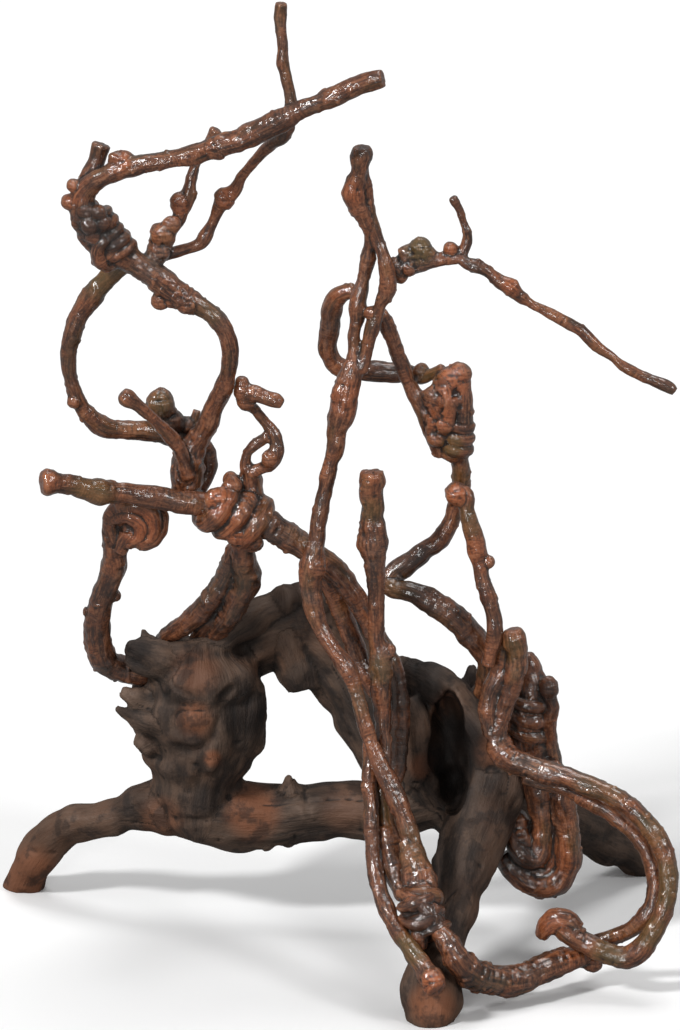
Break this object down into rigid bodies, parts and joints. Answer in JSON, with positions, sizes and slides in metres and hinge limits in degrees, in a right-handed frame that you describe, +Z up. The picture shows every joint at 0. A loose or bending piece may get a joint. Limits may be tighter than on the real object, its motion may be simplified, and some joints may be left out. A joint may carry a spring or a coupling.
{
  "type": "spiderwood root",
  "caption": "Branching driftwood root on three legs: a thick matt stump from which thin glossy roots climb, knot together and end in twigs.",
  "frame": {"origin": "middle of the part's box on the floor that its three feet stand on", "axes": "+Z up along the longest extent, -Y towards the viewer of the picture"},
  "size_m": [0.3408, 0.2498, 0.5099],
  "materials": {
    "driftwood": "weathered, matt, fine grain",
    "lacquered_root": "smooth bark with a varnished gloss"
  },
  "bodies": {
    "root": {"stump": "driftwood", "arch_strand": "lacquered_root", "tall_strand": "lacquered_root", "upright_stick": "lacquered_root", "club_strand": "lacquered_root", "noose_strand": "lacquered_root", "crown_strand": "lacquered_root", "ring_strand": "lacquered_root", "left_riser": "lacquered_root", "knotted_root": "lacquered_root", "right_riser": "lacquered_root", "reaching_twig": "lacquered_root", "front_loop": "lacquered_root", "coil_strand": "lacquered_root", "foot_strand": "lacquered_root"}
  },
  "joints": []
}
